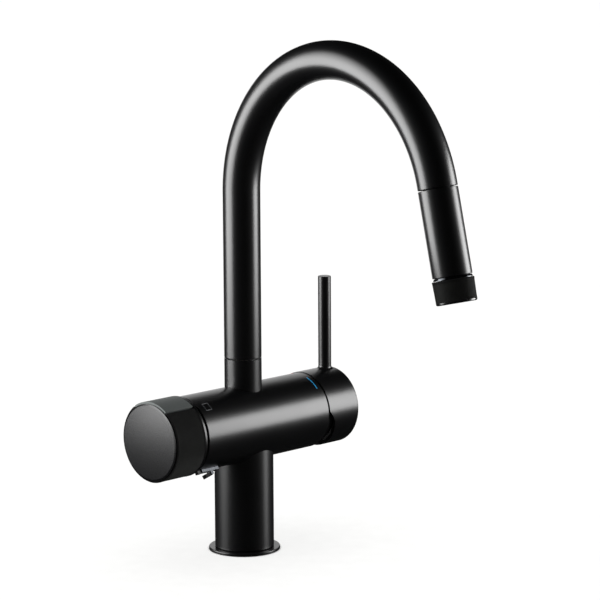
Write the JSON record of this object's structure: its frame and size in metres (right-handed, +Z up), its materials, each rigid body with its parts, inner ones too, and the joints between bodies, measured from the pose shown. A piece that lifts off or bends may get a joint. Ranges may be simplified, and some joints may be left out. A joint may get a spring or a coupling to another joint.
{
  "type": "kitchen tap",
  "caption": "Single-hole kitchen tap with a C-shaped pull-out spout, a side pin lever for mixed water and a knurled side knob for filtered water.",
  "frame": {"origin": "centre of the column on the underside of the foot flange, midway between the two stud holes", "axes": "+Z up along the column, +X along the valve body from the filter knob towards the mixer lever, the spout points to -Y at rest, turned 2.63 degrees towards the knob"},
  "size_m": [0.1901, 0.2673, 0.3895],
  "materials": {
    "black_paint": "satin black powder coat over metal",
    "grey_face": "satin dark grey coated plate",
    "knurl_black": "fine knurled, black coated",
    "black_plastic": "moulded black acetal",
    "white_plastic": "moulded natural acetal",
    "brass": "machined brass",
    "bright": "polished chrome plate",
    "steel": "stainless steel",
    "ceramic": "lapped alumina ceramic",
    "rubber": "black nitrile or silicone rubber",
    "hose": "smooth black sheathed hose",
    "clear_tube": "food grade polyethylene tube"
  },
  "bodies": {
    "base": {"base_flange": "black_paint", "base_gasket": "rubber", "column": "black_paint", "stud_ring": "brass", "body_shell": "black_paint", "valve_block": "brass", "hose_guide": "white_plastic", "spout_socket": "black_paint", "swivel_stop_screw": "steel", "cartridge_housing": "white_plastic", "cartridge_seals": "rubber", "cartridge_disc_fixed": "ceramic", "cartridge_nut": "brass", "cartridge_dome": "black_plastic", "filter_headpart": "brass", "filter_disc_fixed": "ceramic", "knob_seat_ring": "white_plastic", "catch_bracket": "steel", "catch_pin": "steel", "catch_nub": "rubber"},
    "spout": {"spout_tube": "black_paint", "spout_spigot": "brass", "swivel_bushes": "white_plastic", "swivel_seals": "rubber", "dock_ring": "black_plastic", "spray_hose": "hose", "filter_tube": "clear_tube", "hose_tail": "brass"},
    "head": {"head_neck": "black_plastic", "hose_connector": "brass", "check_valve": "white_plastic", "head_core": "black_plastic", "head_shell": "black_paint", "trim_ring": "bright", "filter_nozzle": "steel", "collar_clip": "steel"},
    "collar": {"spray_collar": "knurl_black", "aerator_housing": "black_plastic", "aerator_screens": "steel"},
    "knob": {"filter_disc_turning": "ceramic", "filter_spindle": "brass", "knob_hub": "black_plastic", "knob_screw": "steel", "knob_sleeve": "knurl_black", "knob_panel": "grey_face", "knob_rear_ring": "black_paint", "knob_face": "grey_face"},
    "mix_carrier": {"stem_carrier": "white_plastic", "stem_pin": "steel"},
    "mix_disc": {"cartridge_disc_moving": "ceramic", "disc_driver": "white_plastic"},
    "lever": {"cartridge_stem": "brass", "lever_cap": "black_paint", "lever_pin": "black_paint", "lever_screw": "steel"},
    "catch": {"catch_paddle": "black_plastic"}
  },
  "joints": [
    {"name": "spout_swivel", "type": "hinge", "parent": "base", "child": "spout", "pos_m": [0, 0, 0.147], "axis": [0, 0, 1], "range_deg": [-72.37, 77.63]},
    {"name": "spray_pull_out", "type": "slide", "parent": "spout", "child": "head", "axis": [-0.0109, -0.2366, -0.9715], "range_m": [0, 0.2], "deforming": ["spray_hose", "filter_tube"]},
    {"name": "spray_collar_turn", "type": "hinge", "parent": "head", "child": "collar", "pos_m": [-0.00936, -0.20384, 0.29651], "axis": [-0.0109, -0.2366, -0.9715], "range_deg": [0, 90]},
    {"name": "filter_knob_turn", "type": "hinge", "parent": "base", "child": "knob", "pos_m": [-0.0647, 0, 0.097], "axis": [1, 0, 0], "range_deg": [0, 90]},
    {"name": "lever_temperature", "type": "hinge", "parent": "base", "child": "mix_carrier", "pos_m": [0.063, 0, 0.097], "axis": [1, 0, 0], "range_deg": [-48, 48]},
    {"name": "lever_flow", "type": "hinge", "parent": "mix_carrier", "child": "lever", "pos_m": [0.063, 0, 0.097], "axis": [0, 1, 0], "range_deg": [0, 18]},
    {"name": "mixing_disc_slide", "type": "slide", "parent": "mix_carrier", "child": "mix_disc", "axis": [0, 0, 1], "range_m": [0, 0.00675]},
    {"name": "catch_flip", "type": "hinge", "parent": "base", "child": "catch", "pos_m": [-0.0491, -0.01576, 0.06857], "axis": [0, -0.8746, 0.4848], "range_deg": [-10, 60]}
  ],
  "couplings": [
    {"joint": "mixing_disc_slide", "follows": "lever_flow", "m_per_rad": 0.0214}
  ]
}
